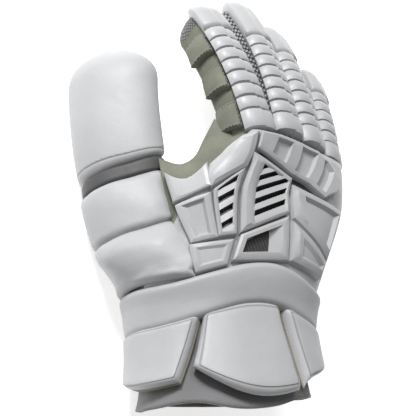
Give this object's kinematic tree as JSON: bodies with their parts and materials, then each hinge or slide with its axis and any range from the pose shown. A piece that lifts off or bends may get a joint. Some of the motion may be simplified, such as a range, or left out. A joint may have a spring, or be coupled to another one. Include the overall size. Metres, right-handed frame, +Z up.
{
  "type": "lacrosse glove",
  "caption": "Right-hand lacrosse glove with ribbed finger rolls, padded thumb, moulded backhand plates, wrist band and three cuff flaps, lying palm down.",
  "frame": {"origin": "centre of the bounding box, on the floor that the glove rests on", "axes": "+Y along the fingers, +X towards the little finger, +Z up out of the back of the hand"},
  "size_m": [0.2282, 0.3328, 0.1085],
  "materials": {
    "white_leather": "smooth white synthetic leather",
    "white_foam": "white synthetic leather over moulded foam",
    "grey_suede": "olive grey suede",
    "grey_mesh": "coarse dark woven mesh",
    "grey_fabric": "grey knitted fabric",
    "grey_stripe": "dark grey synthetic leather",
    "tan_lining": "tan brushed lining"
  },
  "bodies": {
    "root": {"centre_vent_plate": "white_foam", "cuff_flap_centre": "white_leather", "cuff_flap_radial": "white_leather", "cuff_flap_ulnar": "white_leather", "cuff_lining_radial": "tan_lining", "cuff_lining_ulnar": "tan_lining", "index_roll": "white_foam", "index_sheath": "grey_mesh", "index_side_pad_1": "grey_suede", "index_side_pad_2": "grey_suede", "index_side_pad_3": "grey_suede", "index_tip_pad": "white_foam", "inner_cuff": "grey_fabric", "knuckle_bar": "white_foam", "little_roll": "white_foam", "little_sheath": "grey_mesh", "little_tip_pad": "white_foam", "lower_radial_plate": "white_foam", "lower_ulnar_plate": "white_foam", "middle_radial_plate": "white_foam", "middle_roll": "white_foam", "middle_sheath": "grey_mesh", "middle_tip_pad": "white_foam", "palm_shell": "white_leather", "radial_vent_plate": "white_foam", "ring_roll": "white_foam", "ring_sheath": "grey_mesh", "ring_tip_pad": "white_foam", "thumb_base_pad": "white_leather", "thumb_mid_pad": "white_leather", "thumb_sheath": "grey_suede", "thumb_stripe": "grey_stripe", "thumb_tip_pad": "white_leather", "upper_radial_plate": "white_foam", "upper_ulnar_plate": "white_foam", "web_gusset": "grey_suede", "web_plate": "white_foam", "wrist_band": "white_leather", "wrist_plate": "white_foam"}
  },
  "joints": []
}
